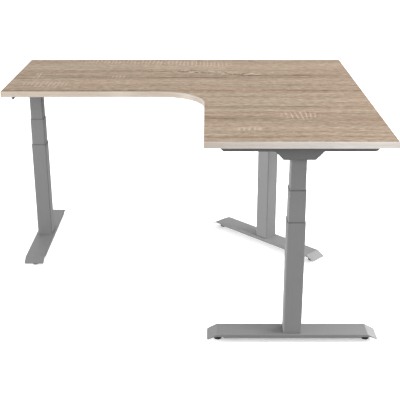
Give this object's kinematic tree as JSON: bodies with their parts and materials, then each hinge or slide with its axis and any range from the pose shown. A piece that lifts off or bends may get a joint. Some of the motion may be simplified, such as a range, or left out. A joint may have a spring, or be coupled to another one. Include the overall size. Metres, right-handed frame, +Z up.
{
  "type": "height adjustable standing desk",
  "caption": "L-shaped sit-stand desk: light-oak worktop with a rounded inner corner on telescopic electric legs with flat grey feet and levellers.",
  "frame": {"origin": "on the floor, below the centre of the desk's bounding box", "axes": "+X to the user's right along the long side, +Y to the back, +Z up"},
  "size_m": [1.6, 1.45, 0.85],
  "materials": {
    "oak_decor": "matt light oak decor with saw marks across the grain",
    "edge_strip": "pale oak edge strip, satin",
    "powder_coat": "fine-textured silver-grey powder coat",
    "leveller_steel": "black moulded plastic pad on a zinc-plated stud",
    "guide_plastic": "dark grey moulded",
    "steel": "zinc-plated",
    "motor_casing": "black satin",
    "dark_plastic": "fine-grained black moulding",
    "button_plastic": "grey moulded"
  },
  "bodies": {
    "left_lower": {"left_foot": "powder_coat", "left_foot_bolts": "steel", "left_low_tube": "powder_coat", "left_low_collar": "guide_plastic", "left_low_push_tube": "steel"},
    "left_middle": {"left_mid_tube": "powder_coat", "left_mid_collar": "guide_plastic", "left_mid_glides": "guide_plastic", "left_mid_carrier": "steel"},
    "left_hollow_screw": {"left_hollow_screw": "steel"},
    "left_drive_screw": {"left_drive_screw": "steel"},
    "left_leveller_1": {"left_leveller_1": "leveller_steel"},
    "left_leveller_2": {"left_leveller_2": "leveller_steel"},
    "front_middle": {"front_mid_tube": "powder_coat", "front_mid_collar": "guide_plastic", "front_mid_glides": "guide_plastic", "front_mid_carrier": "steel"},
    "front_lower": {"front_foot": "powder_coat", "front_foot_bolts": "steel", "front_low_tube": "powder_coat", "front_low_collar": "guide_plastic", "front_low_push_tube": "steel"},
    "front_hollow_screw": {"front_hollow_screw": "steel"},
    "front_drive_screw": {"front_drive_screw": "steel"},
    "front_leveller_1": {"front_leveller_1": "leveller_steel"},
    "front_leveller_2": {"front_leveller_2": "leveller_steel"},
    "corner_middle": {"corner_mid_tube": "powder_coat", "corner_mid_collar": "guide_plastic", "corner_mid_glides": "guide_plastic", "corner_mid_carrier": "steel"},
    "corner_lower": {"corner_foot": "powder_coat", "corner_foot_bolts": "steel", "corner_low_tube": "powder_coat", "corner_low_collar": "guide_plastic", "corner_low_push_tube": "steel"},
    "corner_hollow_screw": {"corner_hollow_screw": "steel"},
    "corner_drive_screw": {"corner_drive_screw": "steel"},
    "corner_leveller_1": {"corner_leveller_1": "leveller_steel"},
    "corner_leveller_2": {"corner_leveller_2": "leveller_steel"},
    "top": {"tabletop": "oak_decor", "edge_band": "edge_strip", "frame_screws": "steel", "left_beam": "powder_coat", "front_beam": "powder_coat", "control_box": "dark_plastic", "handset": "dark_plastic", "left_top_tube": "powder_coat", "left_top_glides": "guide_plastic", "left_bracket": "powder_coat", "left_gearmotor": "motor_casing", "front_top_tube": "powder_coat", "front_top_glides": "guide_plastic", "front_bracket": "powder_coat", "front_gearmotor": "motor_casing", "corner_top_tube": "powder_coat", "corner_top_glides": "guide_plastic", "corner_bracket": "powder_coat", "corner_gearmotor": "motor_casing"},
    "button_up": {"button_up": "button_plastic"},
    "button_down": {"button_down": "button_plastic"}
  },
  "joints": [
    {"name": "left_lower_stage", "type": "slide", "parent": "left_lower", "child": "left_middle", "axis": [0, 0, 1], "range_m": [-0.115, 0.21]},
    {"name": "left_upper_stage", "type": "slide", "parent": "left_middle", "child": "top", "axis": [0, 0, 1], "range_m": [-0.115, 0.21]},
    {"name": "front_upper_stage", "type": "slide", "parent": "top", "child": "front_middle", "axis": [0, 0, -1], "range_m": [-0.115, 0.21]},
    {"name": "front_lower_stage", "type": "slide", "parent": "front_middle", "child": "front_lower", "axis": [0, 0, -1], "range_m": [-0.115, 0.21]},
    {"name": "corner_upper_stage", "type": "slide", "parent": "top", "child": "corner_middle", "axis": [0, 0, -1], "range_m": [-0.115, 0.21]},
    {"name": "corner_lower_stage", "type": "slide", "parent": "corner_middle", "child": "corner_lower", "axis": [0, 0, -1], "range_m": [-0.115, 0.21]},
    {"name": "left_drive_screw_spin", "type": "hinge", "parent": "top", "child": "left_drive_screw", "pos_m": [-0.7095, 0.353, 0.5], "axis": [0, 0, 1], "range_deg": [-5176, 9451]},
    {"name": "left_hollow_screw_spin", "type": "hinge", "parent": "left_middle", "child": "left_hollow_screw", "pos_m": [-0.7095, 0.353, 0.35], "axis": [0, 0, 1], "range_deg": [-5176, 9451]},
    {"name": "front_drive_screw_spin", "type": "hinge", "parent": "top", "child": "front_drive_screw", "pos_m": [0.45, -0.63, 0.5], "axis": [0, 0, 1], "range_deg": [-5176, 9451]},
    {"name": "front_hollow_screw_spin", "type": "hinge", "parent": "front_middle", "child": "front_hollow_screw", "pos_m": [0.45, -0.63, 0.35], "axis": [0, 0, 1], "range_deg": [-5176, 9451]},
    {"name": "corner_drive_screw_spin", "type": "hinge", "parent": "top", "child": "corner_drive_screw", "pos_m": [0.41, 0.307, 0.5], "axis": [0, 0, 1], "range_deg": [-5176, 9451]},
    {"name": "corner_hollow_screw_spin", "type": "hinge", "parent": "corner_middle", "child": "corner_hollow_screw", "pos_m": [0.41, 0.307, 0.35], "axis": [0, 0, 1], "range_deg": [-5176, 9451]},
    {"name": "left_leveller_1_turn", "type": "hinge", "parent": "left_lower", "child": "left_leveller_1", "pos_m": [-0.7095, 0.648, 0.02], "axis": [0, 0, 1], "range_deg": [-2880, 1080]},
    {"name": "left_leveller_2_turn", "type": "hinge", "parent": "left_lower", "child": "left_leveller_2", "pos_m": [-0.7095, 0.058, 0.02], "axis": [0, 0, 1], "range_deg": [-2880, 1080]},
    {"name": "front_leveller_1_turn", "type": "hinge", "parent": "front_lower", "child": "front_leveller_1", "pos_m": [0.155, -0.63, 0.02], "axis": [0, 0, 1], "range_deg": [-2880, 1080]},
    {"name": "front_leveller_2_turn", "type": "hinge", "parent": "front_lower", "child": "front_leveller_2", "pos_m": [0.745, -0.63, 0.02], "axis": [0, 0, 1], "range_deg": [-2880, 1080]},
    {"name": "corner_leveller_1_turn", "type": "hinge", "parent": "corner_lower", "child": "corner_leveller_1", "pos_m": [0.6186, 0.0984, 0.02], "axis": [0, 0, 1], "range_deg": [-2880, 1080]},
    {"name": "corner_leveller_2_turn", "type": "hinge", "parent": "corner_lower", "child": "corner_leveller_2", "pos_m": [0.2014, 0.5156, 0.02], "axis": [0, 0, 1], "range_deg": [-2880, 1080]},
    {"name": "button_up_press", "type": "slide", "parent": "top", "child": "button_up", "axis": [0, 1, 0], "range_m": [0, 0.001], "stiffness_N_per_m": 1500, "springref_m": -0.0004},
    {"name": "button_down_press", "type": "slide", "parent": "top", "child": "button_down", "axis": [0, 1, 0], "range_m": [0, 0.001], "stiffness_N_per_m": 1500, "springref_m": -0.0004}
  ],
  "couplings": [
    {"joint": "left_upper_stage", "follows": "left_lower_stage", "ratio": 1},
    {"joint": "front_upper_stage", "follows": "left_lower_stage", "ratio": 1},
    {"joint": "front_lower_stage", "follows": "left_lower_stage", "ratio": 1},
    {"joint": "corner_upper_stage", "follows": "left_lower_stage", "ratio": 1},
    {"joint": "corner_lower_stage", "follows": "left_lower_stage", "ratio": 1},
    {"joint": "left_drive_screw_spin", "follows": "left_lower_stage", "rad_per_m": 785.4},
    {"joint": "left_hollow_screw_spin", "follows": "left_lower_stage", "rad_per_m": 785.4},
    {"joint": "front_drive_screw_spin", "follows": "left_lower_stage", "rad_per_m": 785.4},
    {"joint": "front_hollow_screw_spin", "follows": "left_lower_stage", "rad_per_m": 785.4},
    {"joint": "corner_drive_screw_spin", "follows": "left_lower_stage", "rad_per_m": 785.4},
    {"joint": "corner_hollow_screw_spin", "follows": "left_lower_stage", "rad_per_m": 785.4}
  ]
}
